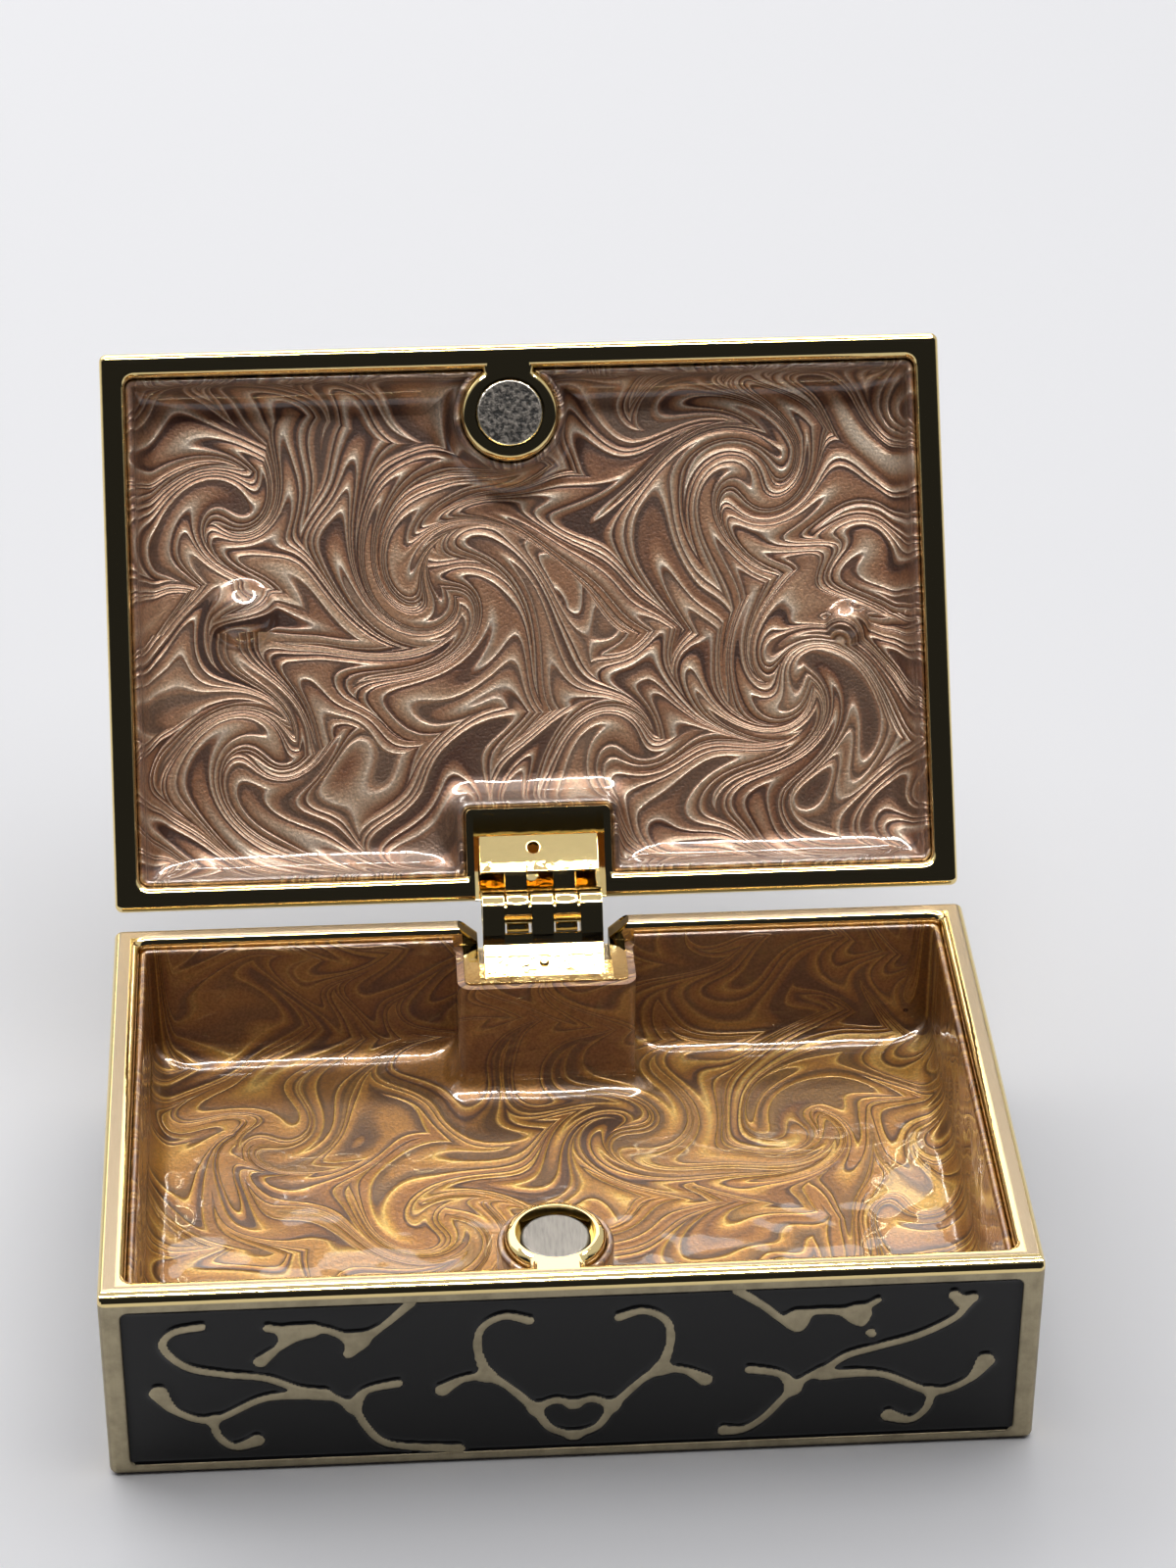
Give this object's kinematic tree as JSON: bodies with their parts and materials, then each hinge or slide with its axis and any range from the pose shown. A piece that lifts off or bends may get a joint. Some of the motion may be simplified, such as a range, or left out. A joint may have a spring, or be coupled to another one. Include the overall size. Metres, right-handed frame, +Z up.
{
  "type": "hinged enamelled trinket box",
  "caption": "Small rectangular metal trinket box with a hinged lid, marbled enamel lining, raised scrollwork on black enamel and a magnetic catch.",
  "frame": {"origin": "centre of the base's flat underside", "axes": "+Z up, +Y from the scrollwork front towards the hinge, X along the hinge"},
  "size_m": [0.062, 0.0721, 0.0488],
  "materials": {
    "satin_gilt": "satin gilt plating on a casting",
    "polished_gilt": "polished gilt plating",
    "honey_enamel": "marbled pearl enamel, glossy",
    "mauve_enamel": "marbled pearl enamel, glossy",
    "black_enamel": "glossy black enamel",
    "brushed_steel": "brushed",
    "sintered_magnet": "rough sintered"
  },
  "bodies": {
    "base": {"base_casting": "satin_gilt", "base_lining_enamel": "honey_enamel", "base_front_enamel": "black_enamel", "base_front_enamel_heart": "black_enamel", "base_back_enamel": "black_enamel", "base_left_enamel": "black_enamel", "base_right_enamel": "black_enamel", "base_steel_disc": "brushed_steel", "hinge_base_leaf": "polished_gilt", "hinge_pin": "polished_gilt"},
    "lid": {"lid_casting": "polished_gilt", "lid_lining_enamel": "mauve_enamel", "lid_top_enamel": "black_enamel", "lid_top_enamel_heart": "black_enamel", "lid_front_enamel": "black_enamel", "lid_left_enamel": "black_enamel", "lid_right_enamel": "black_enamel", "lid_magnet": "sintered_magnet", "hinge_lid_leaf": "polished_gilt"}
  },
  "joints": [
    {"name": "lid_hinge", "type": "hinge", "parent": "base", "child": "lid", "pos_m": [0.00015, 0.02135, 0.01532], "axis": [1, 0, 0], "range_deg": [0, 125.8]}
  ]
}
